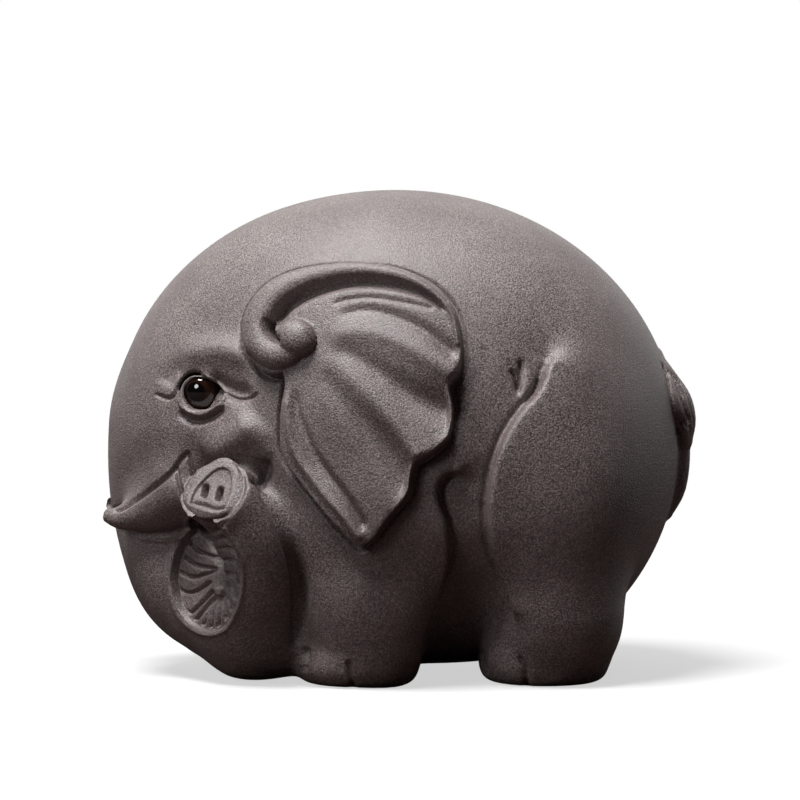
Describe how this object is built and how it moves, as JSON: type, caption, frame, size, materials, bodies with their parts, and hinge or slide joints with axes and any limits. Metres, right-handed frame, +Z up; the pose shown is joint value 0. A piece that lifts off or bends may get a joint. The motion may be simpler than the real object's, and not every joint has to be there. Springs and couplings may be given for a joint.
{
  "type": "tea pet",
  "caption": "Round standing elephant of unglazed dark purple clay with a curled trunk, fluted ears and inset glass eyes, for a tea tray.",
  "frame": {"origin": "middle of the part's box on the floor plane, under the belly", "axes": "-X is the way the elephant faces, +X its tail, -Y its left side with the curled trunk, +Z up; the soles stand on Z = 0"},
  "size_m": [0.1052, 0.082, 0.0857],
  "materials": {
    "clay": "matte",
    "eye_glass": "gloss"
  },
  "bodies": {
    "root": {"body": "clay", "eye_left": "eye_glass", "eye_right": "eye_glass"}
  },
  "joints": []
}
